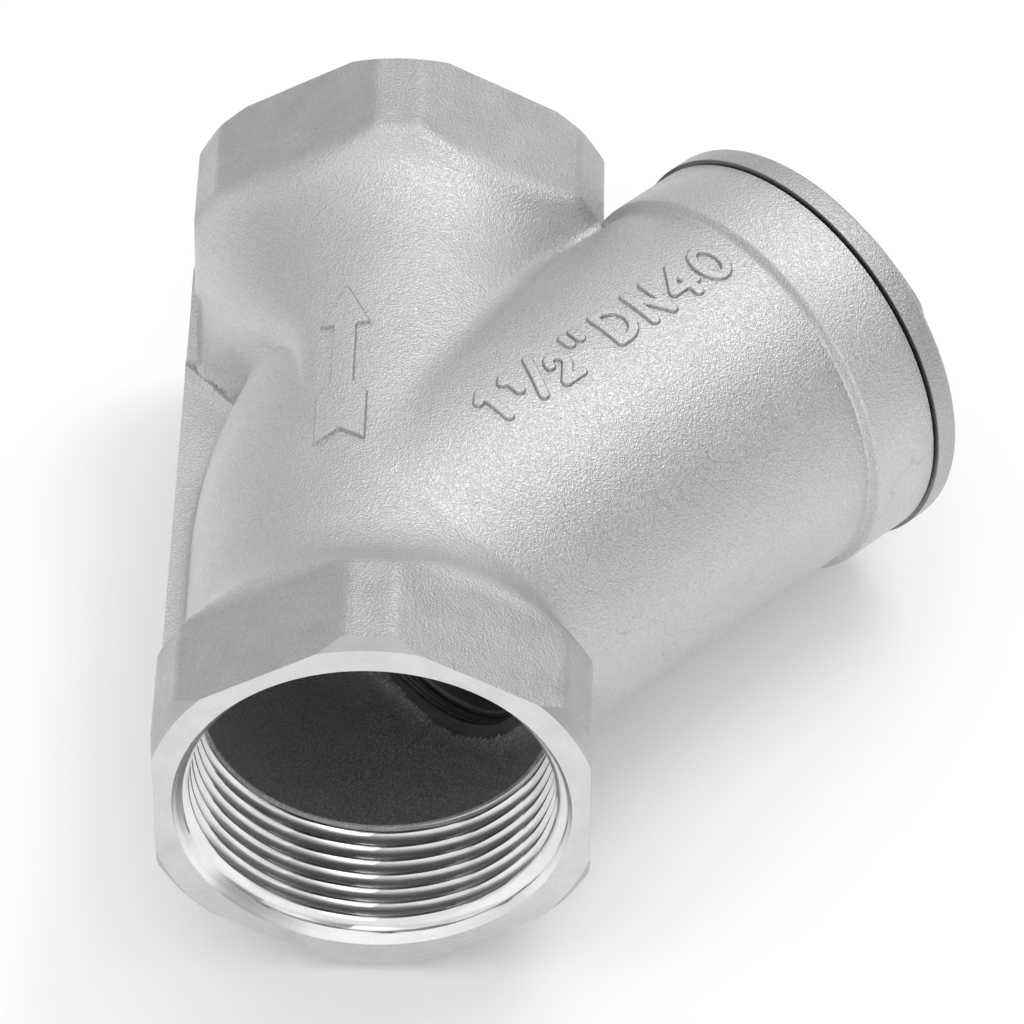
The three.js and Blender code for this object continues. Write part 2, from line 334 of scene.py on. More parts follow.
def hexagon(x, z, flat, facet, rounding):
    """A hexagonal bar along Y with its corners up and down cut back to flats at facet."""
    field = None
    for side in range(6):
        angle = side * math.pi / 6
        reach = facet if side % 2 else flat
        plane = np.abs(x * math.cos(angle) + z * math.sin(angle)) - reach
        field = plane if field is None else smooth_max(field, plane, rounding)
    return field


def hub_field(x, depth, z):
    """A hub whose face is at depth 0. It runs on past the face, which is cut later."""
    radius = np.hypot(x, z)
    step = HUB_FACET - HUB_FLAT
    length = math.hypot(step, SHOULDER_STEP)
    steep = ((radius - HUB_FACET) * SHOULDER_STEP + (depth - HUB_LENGTH) * step) / length
    fall = HUB_FLAT - TUBE_RADIUS
    run = SHOULDER_LENGTH - SHOULDER_STEP
    length = math.hypot(fall, run)
    gentle = ((radius - HUB_FLAT) * run + (depth - HUB_LENGTH - SHOULDER_STEP) * fall) / length
    bar = hexagon(x, z, HUB_FLAT, HUB_FACET - FACET_MARGIN, rounding=0.35)
    return smooth_max(bar, smooth_min(steep, gentle, reach=2.5), reach=0.9)


def bar_field(x, y, z, radius):
    """The inlet passage as a round bar, straight and then bent towards the branch."""
    sideways = np.where(y < BEND_START, x, BEND_RADIUS - np.hypot(x - BEND_RADIUS, y - BEND_START))
    return np.hypot(sideways, z) - radius


def notch_field(x, y, depth):
    """Below zero in what the leaning side of the notch takes off the outlet tube."""
    leaning = NOTCH_OFFSET - depth - (NOTCH_NORMAL[0] * x + NOTCH_NORMAL[1] * y)
    return smooth_max(leaning, x + NOTCH_TOP - depth, reach=3.0)


def join_web(casting, x, y, z):
    """Adds the flat web: thick up to the notch, with a rim and a lip, and a thin floor in the notch."""
    slant = x * WEB_EDGE[0] + y * WEB_EDGE[1] - WEB_EDGE[2]
    notch_edge = smooth_min(slant, x + WEB_REACH - WEB_RIM, reach=0.3)
    lip = WEB_LIP * np.exp(-((slant + LIP_WIDTH) / LIP_WIDTH) ** 2)
    start = HUB_LENGTH - WEB_ON_HUB - INLET_LENGTH
    end = OUTLET_LENGTH - HUB_LENGTH + WEB_ON_HUB
    side = np.maximum(np.maximum(-WEB_REACH - x, x), np.maximum(start - y, y - end))
    thick = smooth_max(np.abs(z) - WEB_THICK - lip, notch_edge, reach=0.7)
    thick = smooth_max(thick, side, reach=0.25)
    floor = np.maximum(np.abs(z) - WEB_FLOOR, side)
    in_notch = np.clip(0.5 + notch_edge, 0, 1)
    casting = smooth_min(casting, floor, reach=1.2 + 4.5 * in_notch)
    casting = smooth_min(casting, thick, reach=1.2)
    return np.maximum(casting, -WEB_REACH + WEB_MARGIN - x)


def crease(x, across, z):
    """How far the run's surface is from parallel to the branch's: 0 where they are tangent, up to 1.4."""
    length = np.hypot(x, z) * np.hypot(across, z)
    turn = (x * across * ROOT_HALF + z * z) / np.maximum(length, 1e-6)
    return np.sqrt(np.clip(1 - turn, 0, 1))


def outside_field(x, y, z):
    """The outside of the casting, with 1 mm of spare metal on both end faces.

    The branch stops 0.5 mm short of its end, and the collar makes up the rest."""
    along = (x + y) * ROOT_HALF
    across = (x - y) * ROOT_HALF
    around = np.hypot(across, z)
    inlet = smooth_max(bar_field(x, y, z, TUBE_RADIUS), along - NOTCH_SIDE, reach=0.8)
    tube = np.hypot(x, z) - TUBE_RADIUS
    outlet = np.maximum(smooth_max(tube, -notch_field(x, y, 0), reach=3.5), -y)
    run = np.minimum(inlet, outlet)
    root = ROOT_RADIUS + (BRANCH_RADIUS - ROOT_RADIUS) * np.clip((along - ROOT_START) / ROOT_LENGTH, 0, 1)
    branch = smooth_max(around - root, -along, reach=5.0)
    branch = np.maximum(branch, along - BRANCH_END + 0.5)
    casting = smooth_min(run, branch, reach=0.5 + 1.8 * crease(x, across, z))
    casting = smooth_min(casting, hub_field(x, y + INLET_LENGTH, z), reach=1.2)
    casting = smooth_min(casting, hub_field(x, OUTLET_LENGTH - y, z), reach=2.6)
    casting = join_web(casting, x, y, z)
    return np.maximum(np.maximum(casting, -y - INLET_LENGTH - 1), y - OUTLET_LENGTH - 1)


def inside_field(x, y, z):
    """The cast chambers: below zero in the water."""
    along = (x + y) * ROOT_HALF
    around = np.hypot((x - y) * ROOT_HALF, z)
    bore = TUBE_RADIUS - WALL
    inlet = smooth_max(bar_field(x, y, z, bore), along - PARTITION[0], reach=2.0)
    tube = smooth_max(np.hypot(x, z) - bore, -notch_field(x, y, WALL), reach=3.0)
    outlet = smooth_min(np.maximum(tube, -y), around - BRANCH_BORE, reach=1.5)
    return np.minimum(inlet, smooth_max(outlet, PARTITION[1] - along, reach=2.0))


def body_field(x, y, z):
    return smooth_max(outside_field(x, y, z), -inside_field(x, y, z), reach=0.5)


def boss_field(x, y, z):
    """The cap's hexagonal boss about +Y, with a crown turned on its end."""
    boss = hexagon(x, z, BOSS_FLAT, BOSS_FACET, rounding=0.9)
    crown = (np.hypot(x, z) - BOSS_FLAT - 0.4) * CROWN_SLOPE[0] + (y - BOSS_END) * CROWN_SLOPE[1]
    boss = smooth_max(smooth_max(boss, crown, reach=0.8), y - BOSS_END, reach=0.8)
    return np.maximum(boss, FLANGE[1] - 1.5 - y)


# ---- Threads and cutting tools ----

def thread_wave(y):
    """0 at the crest of a female thread and 1 at its root, for each angle at one height. Right-handed.

    Crest and root are flat, and THREAD_ROUNDING softens their edges."""
    turn = np.arange(THREAD_SEGMENTS) / THREAD_SEGMENTS
    phase = np.mod(y / PITCH + turn, 1)
    wave = 1 - np.abs(2 * phase - 1)
    edge = np.clip(1.5 * wave - 0.25, 0, 1)
    return (1 - THREAD_ROUNDING) * edge + THREAD_ROUNDING * edge * edge * (3 - 2 * edge)


def thread_rows(start, end, minor, depth, taper, fade):
    """Rows of a thread from start to end; its depth fades to nothing over the last fade millimetres."""
    rows = []
    for y in np.arange(start, end, PITCH / ROWS_PER_PITCH):
        left = np.clip((end - y) / fade, 0, 1)
        rows.append((y, minor - taper * (y - start) + depth * left * thread_wave(y)))
    return rows


def run_end_tool():
    """Cuts one run end, whose face is at y = 0 with the metal towards +Y: face, chamfer, mouth, thread."""
    spare, rim = 4.0, 31.0
    start, end = 0.5, THREAD_LENGTH + 1.2
    countersink = 0.75
    rows = [(-spare, rim), ((rim - HUB_FACE_RADIUS) / HUB_CHAMFER_SLOPE, rim)]
    rows += [(0.0, HUB_FACE_RADIUS), (0.0, MOUTH_RADIUS + 0.25), (0.45, MOUTH_RADIUS - 0.1)]
    for y, radius in thread_rows(start, end, THREAD_MINOR, THREAD_DEPTH, THREAD_TAPER, fade=1.6):
        rows.append((y, np.maximum(radius, MOUTH_RADIUS - 0.15 - (y - start) * countersink)))
    return turned(rows, THREAD_SEGMENTS)


def branch_tool():
    """Cuts the mouth of the branch, its thread and, far inside, the seat of the screen.

    The hole of the seat has fine grooves, as the boring tool leaves them."""
    groove, pitch = 0.12, 0.6
    rows = [(4.0, SEAT_HOLE)]
    for y in np.arange(PARTITION[0] + 0.4, SEAT_LEDGE - 0.2, pitch):
        rows += [(y, SEAT_HOLE), (y + pitch / 4, SEAT_HOLE + groove), (y + pitch / 2, SEAT_HOLE)]
    rows += [(SEAT_LEDGE, SEAT_HOLE), (SEAT_LEDGE, SEAT_BORE), (BORE_END, SEAT_BORE)]
    rows.append((BORE_END, THREAD_MINOR + 0.2))
    rows += thread_rows(BORE_END + 0.5, POCKET_FLOOR - 0.5, THREAD_MINOR, THREAD_DEPTH, taper=0, fade=0.8)
    rows += [(POCKET_FLOOR, THREAD_MINOR + 0.6), (POCKET_FLOOR, POCKET_RADIUS)]
    rows.append((BRANCH_END + 3, POCKET_RADIUS))
    return turned(rows, THREAD_SEGMENTS)


def collar_rows():
    """The thicker end of the branch, whose start is a rounded step."""
    step = COLLAR_RADIUS - BRANCH_RADIUS
    start = COLLAR_START - 0.7
    rows = [(start, BRANCH_RADIUS - 0.6), (start, BRANCH_RADIUS - 0.1)]
    for share in np.linspace(0, 1, 9):
        height = step * share * share * (3 - 2 * share)
        rows.append((COLLAR_START + COLLAR_RAMP * (share - 0.5), BRANCH_RADIUS + height))
    return rows + [(BRANCH_END - EDGE_BREAK, COLLAR_RADIUS), (BRANCH_END, COLLAR_RADIUS - 0.1)]


def flange_rows(steps=4):
    """The cap's flange, with an almost sharp edge at the gasket and a rounded one outside."""
    rows = []
    edges = ((FLANGE[0] + EDGE_BREAK, EDGE_BREAK, -90, 0), (FLANGE[1] - FLANGE_BEVEL, FLANGE_BEVEL, 0, 90))
    for centre, size, first, last in edges:
        for turn in np.radians(np.linspace(first, last, steps + 1)):
            rows.append((centre + size * math.sin(turn), FLANGE_RADIUS - size + size * math.cos(turn)))
    return rows


def skirt_rows():
    """The cap's skirt, its male thread and the plain neck under the flange."""
    start, end = SKIRT_END + 0.5, FLANGE[0] - 1.6
    root, neck = SKIRT_RADIUS - 1.0, SKIRT_RADIUS - 0.9
    rows = [(SKIRT_END, SKIRT_BORE + 0.5), (SKIRT_END + 0.4, SKIRT_BORE + 0.8)]
    rows += thread_rows(start, end, root, CAP_THREAD_DEPTH, taper=0, fade=1.0)
    return rows + [(FLANGE[0] - 1.4, neck), (FLANGE[0] + 0.5, neck)]


def tool_object(points, faces, place):
    """A cutting tool, with its faces pointing out whichever way its rows were listed."""
    tool = make_object("tool", place(points), faces, [])
    mesh = tool.data
    mesh.calc_loop_triangles()
    corners = np.zeros(len(mesh.vertices) * 3)
    mesh.vertices.foreach_get("co", corners)
    corners = corners.reshape(-1, 3)
    triangles = np.zeros(len(mesh.loop_triangles) * 3, int)
    mesh.loop_triangles.foreach_get("vertices", triangles)
    a, b, c = (corners[triangles.reshape(-1, 3)[:, i]] for i in range(3))
    if (a * np.cross(b, c)).sum() < 0:
        mesh.flip_normals()
    return tool


def at_inlet(points):
    return points + np.array([0, -INLET_LENGTH, 0])


def at_outlet(points):
    """The outlet's tool is the inlet's, turned half round about the vertical."""
    return points * np.array([-1, -1, 1]) + np.array([0, OUTLET_LENGTH, 0])


# ---- Materials ----

class Shader:
    """A material under construction: one Principled shader and the nodes that feed it."""

    def __init__(self, name, colour, roughness, metallic=1.0):
        self.material = bpy.data.materials.new(name)
        self.material.use_nodes = True
        self.tree = self.material.node_tree
        self.bsdf = self.tree.nodes["Principled BSDF"]
        self.bsdf.inputs["Metallic"].default_value = metallic
        self.bsdf.inputs["Base Color"].default_value = (*colour, 1)
        self.bsdf.inputs["Roughness"].default_value = roughness
        self.place = self.tree.nodes.new("ShaderNodeTexCoord").outputs["Object"]
        self.normal = None

    def node(self, kind, values=(), **settings):
        made = self.tree.nodes.new(kind)
        for key, value in settings.items():
            setattr(made, key, value)
        for socket, value in values:
            if isinstance(value, bpy.types.NodeSocket):
                self.tree.links.new(value, made.inputs[socket])
            else:
                made.inputs[socket].default_value = value
        return made

    def noise(self, size, detail=3.0, rough=0.55, place=None):
        """Noise from 0 to 1 whose features are about size metres across."""
        made = self.node("ShaderNodeTexNoise", [("Vector", place or self.place), ("Scale", 1 / size),
                                                ("Detail", detail), ("Roughness", rough)])
        return made.outputs["Fac"]

    def cells(self, size):
        made = self.node("ShaderNodeTexVoronoi", [("Vector", self.place), ("Scale", 1 / size)])
        return made.outputs["Distance"]

    def math(self, operation, a, b=0.0, clamp=False):
        made = self.node("ShaderNodeMath", [(0, a), (1, b)], operation=operation, use_clamp=clamp)
        return made.outputs[0]

    def fit(self, value, low, high, out_low, out_high):
        made = self.node("ShaderNodeMapRange", [("Value", value), ("From Min", low), ("From Max", high),
                                                ("To Min", out_low), ("To Max", out_high)])
        return made.outputs["Result"]

    def blend(self, share, a, b):
        made = self.node("ShaderNodeMix", data_type="RGBA")
        for socket, value in ((made.inputs[0], share), (made.inputs[6], a), (made.inputs[7], b)):
            if isinstance(value, bpy.types.NodeSocket):
                self.tree.links.new(value, socket)
            else:
                socket.default_value = value
        return made.outputs[2]

    def bump(self, height, distance, strength=1.0):
        values = [("Height", height), ("Distance", distance), ("Strength", strength)]
        if self.normal is not None:
            values.append(("Normal", self.normal))
        self.normal = self.node("ShaderNodeBump", values).outputs["Normal"]

    def finish(self, colour=None, roughness=None):
        if colour is not None:
            self.tree.links.new(colour, self.bsdf.inputs["Base Color"])
        if roughness is not None:
            self.tree.links.new(roughness, self.bsdf.inputs["Roughness"])
        if self.normal is not None:
            self.tree.links.new(self.normal, self.bsdf.inputs["Normal"])
        return self.material


def grey(level):
    return (level, level, level, 1)


def blasted_steel(name, light, dark, hubs=False):
    """Investment-cast steel, shot-blasted: fine peened grain, faint cloudy stains, hubs duller."""
    shader = Shader(name, (light, light, light), 0.45)
    grain = shader.noise(0.0002, detail=1.0, rough=0.5)
    pits = shader.cells(0.00042)
    clouds = shader.noise(0.011, detail=5.0, rough=0.6)
    colour = shader.blend(shader.fit(clouds, 0.35, 0.65, 0, 1), grey(dark), grey(light))
    speckle = shader.fit(shader.noise(0.00016, detail=1.0, rough=0.5), 0.32, 0.68, 0.0, 1.0)
    sparkle = shader.blend(speckle, grey(light * 0.84), grey(light * 1.2))
    colour = shader.blend(0.65, colour, sparkle)
    colour = wandering_lines(shader, colour, dark * 0.72)
    if hubs:
        colour = hub_stains(shader, colour)
    roughness = shader.fit(shader.noise(0.0006, detail=2.0), 0.3, 0.7, 0.32, 0.52)
    shader.bump(clouds, distance=0.0005, strength=0.4)
    shader.bump(shader.math("ADD", grain, shader.math("MULTIPLY", pits, 0.5)), distance=0.00011)
    return shader.finish(colour, roughness)


def wandering_lines(shader, colour, level):
    """Thin dark lines, as water and polish leave, on the flank of the branch that faces the inlet."""
    field = shader.noise(0.022, detail=3.0, rough=0.5)
    gap = shader.math("ABSOLUTE", shader.math("SUBTRACT", field, 0.53))
    line = shader.fit(gap, 0.0, 0.0035, 1.0, 0.0)
    side = shader.node("ShaderNodeVectorMath", [(0, shader.place), (1, (ROOT_HALF, -ROOT_HALF, 0))],
                       operation="DOT_PRODUCT").outputs["Value"]
    branch_axis = (junction.x - junction.y) * ROOT_HALF
    patch = shader.fit(side, branch_axis + 5 * MM, branch_axis + 16 * MM, 0.0, 0.42)
    return shader.blend(shader.math("MULTIPLY", line, patch, clamp=True), colour, grey(level))


def hub_stains(shader, colour, level=0.45):
    """Darker, mottled metal on the hexagons, which the shot reaches less."""
    parts = shader.node("ShaderNodeSeparateXYZ", [(0, shader.place)])
    run_middle = (junction.y * 2 + (OUTLET_LENGTH - INLET_LENGTH) * MM) / 2
    half = (OUTLET_LENGTH + INLET_LENGTH) * MM / 2
    reach = shader.math("ABSOLUTE", shader.math("SUBTRACT", parts.outputs["Y"], run_middle))
    on_hub = shader.fit(reach, half - (HUB_LENGTH + 1.2) * MM, half - (HUB_LENGTH - 0.8) * MM, 0, 1)
    stains = shader.noise(0.006, detail=6.0, rough=0.62)
    share = shader.math("MULTIPLY", on_hub, shader.fit(stains, 0.32, 0.68, 0.4, 0.95), clamp=True)
    return shader.blend(share, colour, grey(level))


# The turn of a piece's axis from +Y.
ALONG_RUN = 0.0
ALONG_BRANCH = -math.pi / 4


def about_axis(shader, turn):
    """Places measured from the junction, with +Y turned to lie along the axis of the run or the branch."""
    made = shader.node("ShaderNodeMapping", [("Vector", shader.place), ("Location", tuple(junction)),
                                             ("Rotation", (0, 0, turn))], vector_type="TEXTURE")
    return made.outputs[0]


def turned_steel(name, turn, level, roughness, ring=0.00035):
    """Machined steel with fine rings about the axis, about ring metres wide."""
    shader = Shader(name, (level, level, level), roughness)
    flat = shader.node("ShaderNodeVectorMath", [(0, about_axis(shader, turn)), (1, (1, 0, 1))],
                       operation="MULTIPLY")
    radius = shader.node("ShaderNodeVectorMath", [(0, flat.outputs[0])], operation="LENGTH").outputs["Value"]
    rings = shader.node("ShaderNodeCombineXYZ", [("X", radius)]).outputs[0]
    lines = shader.noise(ring, detail=3.0, rough=0.7, place=rings)
    wear = shader.noise(0.004, detail=5.0, rough=0.6)
    shader.bump(lines, distance=0.00012, strength=0.35)
    colour = shader.blend(shader.fit(wear, 0.35, 0.7, 0, 1), grey(level), grey(level * 0.9))
    return shader.finish(colour, shader.fit(lines, 0.3, 0.7, roughness * 0.75, roughness * 1.35))


def chamber_steel():
    """The inside of the casting: dull as cast, darkened as painted shade, with a few bright grains."""
    shader = Shader("cast_inside_and_shade", (0.1, 0.1, 0.1), 0.6)
    grain = shader.noise(0.00025, detail=2.0, rough=0.6)
    colour = shader.blend(shader.fit(grain, 0.4, 0.75, 0, 1), grey(0.34), grey(0.72))
    shader.bump(grain, distance=0.00008)
    return shader.finish(colour, shader.fit(grain, 0.3, 0.7, 0.45, 0.75))


def ptfe():
    """Gasket plastic: white, a little waxy and cloudy."""
    shader = Shader("ptfe", (0.85, 0.84, 0.81), 0.5, metallic=0.0)
    cloud = shader.noise(0.003, detail=4.0)
    colour = shader.blend(cloud, (0.86, 0.85, 0.82, 1), (0.78, 0.77, 0.73, 1))
    shader.bump(shader.noise(0.0004), distance=0.00003, strength=0.6)
    return shader.finish(colour)


def wire_cloth(wire_pitch=0.0006, warp_wires=190):
    """Fine woven wire: the weave runs round and along the liner."""
    shader = Shader("wire_cloth", (0.5, 0.5, 0.5), 0.4)
    parts = shader.node("ShaderNodeSeparateXYZ", [(0, about_axis(shader, ALONG_BRANCH))]).outputs
    turn = shader.math("ARCTAN2", parts["Z"], parts["X"])
    weft = shader.math("SINE", shader.math("MULTIPLY", parts["Y"], 2 * math.pi / wire_pitch))
    warp = shader.math("SINE", shader.math("MULTIPLY", turn, warp_wires))
    weave = shader.math("MAXIMUM", weft, warp)
    colour = shader.blend(shader.fit(weave, 0.0, 0.9, 0, 1), grey(0.06), grey(0.62))
    shader.bump(weave, distance=0.00012)
    return shader.finish(colour, shader.fit(weave, 0, 1, 0.6, 0.3))


cast = blasted_steel("cast_steel", 0.60, 0.53, hubs=True)
# A darker copy of the cast steel: painted shade on the cap.
cap_cast_shaded = blasted_steel("cap_cast_shaded", 0.49, 0.43)
# A darker copy of the cast steel for the marks' steep flanks: painted shade along their outlines.
mark_outline_shade = blasted_steel("mark_outline_shade", 0.40, 0.36)
# Dull cast steel for the chambers, darkened as painted shade.
chamber_cast_and_shade = chamber_steel()
face_run = turned_steel("turned_run_faces", ALONG_RUN, 0.70, 0.26)
chamfer_run = turned_steel("turned_run_chamfers", ALONG_RUN, 0.52, 0.42)
# Dark turned steel for the branch's end face and the flange's face at the gasket: painted shade in the gap
# between them.
branch_face_shaded = turned_steel("turned_branch_faces_shaded", ALONG_BRANCH, 0.36, 0.40)
# Near-white: bright machined steel, lightened further as painted light in the bores.
run_thread_painted_light = turned_steel("run_thread_painted_light", ALONG_RUN, 0.93, 0.25, ring=0.002)
branch_thread_steel = turned_steel("branch_thread_steel", ALONG_BRANCH, 0.80, 0.18, ring=0.002)
# Much darker than the other turned steel: painted shade deep in the body.
seat_steel_shaded = turned_steel("seat_steel_shaded", ALONG_BRANCH, 0.35, 0.35)
screen_steel = turned_steel("screen_steel", ALONG_BRANCH, 0.74, 0.28, ring=0.0012)
gasket_white = ptfe()
cloth = wire_cloth()


# ---- Housing ----

def face_centres(mesh):
    """Centres of the faces, in millimetres about the junction."""
    centre = np.zeros(len(mesh.polygons) * 3)
    mesh.polygons.foreach_get("center", centre)
    return (centre.reshape(-1, 3) - np.array(junction)) / MM


def paint(mesh, finishes, layers):
    """Gives each face the finish of the last layer that holds it, or else the first finish.

    A layer is an array that is true for its faces, and their finish."""
    mesh.materials.clear()
    for finish in finishes:
        mesh.materials.append(finish)
    slot = np.zeros(len(mesh.polygons), int)
    for held, finish in layers:
        slot[held] = finishes.index(finish)
    mesh.polygons.foreach_set("material_index", slot)
    mesh.polygons.foreach_set("use_smooth", np.ones(len(slot), bool))
    mesh.set_sharp_from_angle(angle=math.radians(SHARP_ANGLE))


def paint_body(mesh):
    """Cast outside, dull and darkened as painted shade in the chambers, and turned, threaded or bored where
    a tool has cut. The seat and the branch's end face carry painted shade, and the run threads painted
    light.
    """
    x, y, z = face_centres(mesh).T
    along, around = (x + y) * ROOT_HALF, np.hypot((x - y) * ROOT_HALF, z)
    radius = np.hypot(x, z)
    depth = np.minimum(y + INLET_LENGTH, OUTLET_LENGTH - y)
    cone = (radius - HUB_FACE_RADIUS - depth * HUB_CHAMFER_SLOPE) / math.hypot(1, HUB_CHAMFER_SLOPE)
    near = 0.02
    in_run = radius < HUB_FACET + 1
    behind_face = depth > near
    in_branch = (around < POCKET_RADIUS + 0.1) & (along > BORE_END - 0.1) & (along < BRANCH_END - near)
    at_seat = (along > 5) & (along < 14) & (around > SEAT_HOLE - 0.15) & (around < SEAT_BORE + 0.15)
    layers = (
        # Faces well inside the casting: painted shade in the chambers.
        (outside_field(x, y, z) < -0.9, chamber_cast_and_shade),
        (in_run & behind_face & (radius > THREAD_MINOR) & (depth < THREAD_LENGTH), cast),
        (in_run & (depth < near), face_run),
        (behind_face & (np.abs(cone) < 0.03) & (depth < HUB_CHAMFER_DEPTH), chamfer_run),
        # The run threads, lightened as painted light.
        (behind_face & (radius < MOUTH_RADIUS + 0.3) & (depth < THREAD_LENGTH + 1), run_thread_painted_light),
        # The branch's end face, inside the gap under the flange, takes the painted shade.
        ((along > BRANCH_END - near) & (around < COLLAR_RADIUS - near), branch_face_shaded),
        (in_branch, branch_thread_steel),
        # The screen's seat, deep in the body, takes painted shade.
        (at_seat, seat_steel_shaded))
    paint(mesh, (cast, chamber_cast_and_shade, face_run, run_thread_painted_light, branch_face_shaded, branch_thread_steel, seat_steel_shaded,
                 chamfer_run), layers)


def make_body():
    low = (-WEB_REACH - 2, -INLET_LENGTH - 3, -HUB_FACET - 2)
    high = ((BRANCH_END + COLLAR_RADIUS) * ROOT_HALF + 2, OUTLET_LENGTH + 3, HUB_FACET + 2)
    points, faces = dual_contour(body_field, low, high, BODY_STEP)
    body = make_object("strainer_body", points, faces.tolist(), [])
    cut(body, tool_object(*turned(collar_rows(), THREAD_SEGMENTS), along_branch), "UNION")
    for place in (at_inlet, at_outlet):
        cut(body, tool_object(*run_end_tool(), place))
    cut(body, tool_object(*branch_tool(), along_branch))
    paint_body(body.data)
    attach(body, "housing")
    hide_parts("body")


# ---- Raised marks ----

# The flank of a mark takes FLANK_WIDTH to rise, and has OUTLINE_SHARE of the rise at the drawn outline. The
# plate ends where the share is EDGE_SHARE, and its faces above TOP_SHARE count as its top.
FLANK_WIDTH = 0.2
OUTLINE_SHARE = 0.4
EDGE_SHARE = -0.5
TOP_SHARE = 0.8


def rise_share(inside):
    """The share of a mark's full rise, from the distance inside its outline; below zero off the mark."""
    return inside / FLANK_WIDTH + OUTLINE_SHARE


def surface_mark(name, height_at, size, place, body, rise):
    """A raised mark: a thin closed plate that follows the casting, from a drawing in the plane.

    height_at gives the share of the rise, or below zero off the mark, for flat coordinates. place turns
    flat coordinates and a height over the surface into a point in millimetres. The plate's edge and its
    underside are sunk in the casting, and its steep flanks take a darker steel as painted shade."""
    edge_sink, sink = 0.12, 0.3
    across = np.arange(-size[0], size[0] + MARK_STEP, MARK_STEP)
    up = np.arange(-size[1], size[1] + MARK_STEP, MARK_STEP)
    s, t = np.meshgrid(across, up, indexing="ij")
    share = height_at(s, t)
    used = share > EDGE_SHARE
    cell = used[:-1, :-1] & used[1:, :-1] & used[:-1, 1:] & used[1:, 1:]
    top = place(s, t, np.clip(share, 0, 1) * rise - np.where(share <= 0, edge_sink, 0))
    bottom = place(s, t, np.full_like(s, -sink))
    corner = np.zeros(s.shape, bool)
    for di, dj in ((0, 0), (1, 0), (0, 1), (1, 1)):
        corner[di:di + cell.shape[0], dj:dj + cell.shape[1]] |= cell
    total = corner.sum()
    index = -np.ones(s.shape, int)
    index[corner] = np.arange(total)
    points = np.concatenate([top[corner], bottom[corner]])
    faces, edges, flank = [], {}, []
    for i, j in np.argwhere(cell):
        loop = [index[i, j], index[i + 1, j], index[i + 1, j + 1], index[i, j + 1]]
        faces.append(loop)
        faces.append([corner_id + total for corner_id in reversed(loop)])
        # Flank faces, below TOP_SHARE, get the darker steel: painted shade along the outline.
        flank += [share[i:i + 2, j:j + 2].min() < TOP_SHARE, False]
        for a, b in zip(loop, loop[1:] + loop[:1]):
            if (b, a) in edges:
                del edges[(b, a)]
            else:
                edges[(a, b)] = True
    faces += [[b, a, a + total, b + total] for a, b in edges]
    flank += [False] * (len(faces) - len(flank))
    mark = make_object(name, points, faces, [cast, mark_outline_shade], smooth_angle=60)
    mark.data.polygons.foreach_set("material_index", np.array(flank, int))
    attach(mark, body)


def segment_distance(s, t, a, b):
    """Distance from flat points to the line from a to b."""
    run = (b[0] - a[0], b[1] - a[1])
    share = np.clip(((s - a[0]) * run[0] + (t - a[1]) * run[1]) / (run[0] ** 2 + run[1] ** 2 + 1e-9), 0, 1)
    return np.hypot(s - a[0] - share * run[0], t - a[1] - share * run[1])


def polygon_distance(s, t, corners):
    """Signed distance to a closed outline, below zero inside."""
    distance = np.full(s.shape, np.inf)
    crossed = np.zeros(s.shape, bool)
    for a, b in zip(corners, corners[1:] + corners[:1]):
        distance = np.minimum(distance, segment_distance(s, t, a, b))
        spans = (a[1] > t) != (b[1] > t)
        rise = (b[1] - a[1]) if b[1] != a[1] else 1e-9
        crossed ^= spans & (s < a[0] + (t - a[1]) / rise * (b[0] - a[0]))
    return np.where(crossed, -distance, distance)


def settle(base, outward, height, steps=8):
    """Points on the casting along outward from base, then raised by height."""
    reach = np.full(base.shape[:-1], TUBE_RADIUS)
    for _ in range(steps):
        at = base + outward * reach[..., None]
        reach = reach - outside_field(at[..., 0], at[..., 1], at[..., 2])
    return base + outward * (reach + height)[..., None]


# The flow arrow: half widths, and heights along the flow from its middle. ARROW_MIDDLE and ARROW_ANGLE place
# it along and round the run. Sizes of marks are half the width and half the height of the drawing.
ARROW_SHAFT = 1.45
ARROW_WING = 3.25
ARROW_TIP = 14.1
ARROW_BARB = 6.9
ARROW_NECK = 7.3
ARROW_TAIL_TOP = -3.5
ARROW_TAIL_SHOULDER = -5.6
ARROW_TAIL_END = -14.1
ARROW_NOTCH = -12.0
ARROW_MIDDLE = 21.15
ARROW_ANGLE = math.radians(102.5)
ARROW_SIZE = (4.2, 15.2)
ARROW_RISE = 0.42


def arrow_height(s, t):
    side = [(ARROW_WING, ARROW_BARB), (ARROW_SHAFT, ARROW_NECK - 0.6), (ARROW_SHAFT, ARROW_TAIL_TOP),
            (ARROW_WING, ARROW_TAIL_SHOULDER), (ARROW_WING, ARROW_TAIL_END)]
    outline = [(0, ARROW_TIP), *side, (0, ARROW_NOTCH), *[(-a, b) for a, b in reversed(side)]]
    return rise_share(-polygon_distance(s, t, outline))


def on_run(s, t, height):
    """Flat coordinates on the run tube: s to the right and t along the flow."""
    angle = ARROW_ANGLE - s / TUBE_RADIUS
    outward = np.stack([np.cos(angle), np.zeros_like(s), np.sin(angle)], axis=-1)
    base = np.stack([np.zeros_like(s), ARROW_MIDDLE + t, np.zeros_like(s)], axis=-1)
    return settle(base, outward, height)


# The size mark, with strokes of radius STROKE. LAST_WIDTH is the width of its last character.
STROKE = 0.72
MARK_HEIGHT = 5.3
MARK_RISE = 0.4
MARK_BASE_ANGLE = math.radians(81.6)
LAST_WIDTH = 3.4


def arc(cx, cy, rx, ry, start, end, steps=10):
    angles = np.radians(np.linspace(start, end, steps))
    return [(cx + rx * math.cos(a), cy + ry * math.sin(a)) for a in angles]


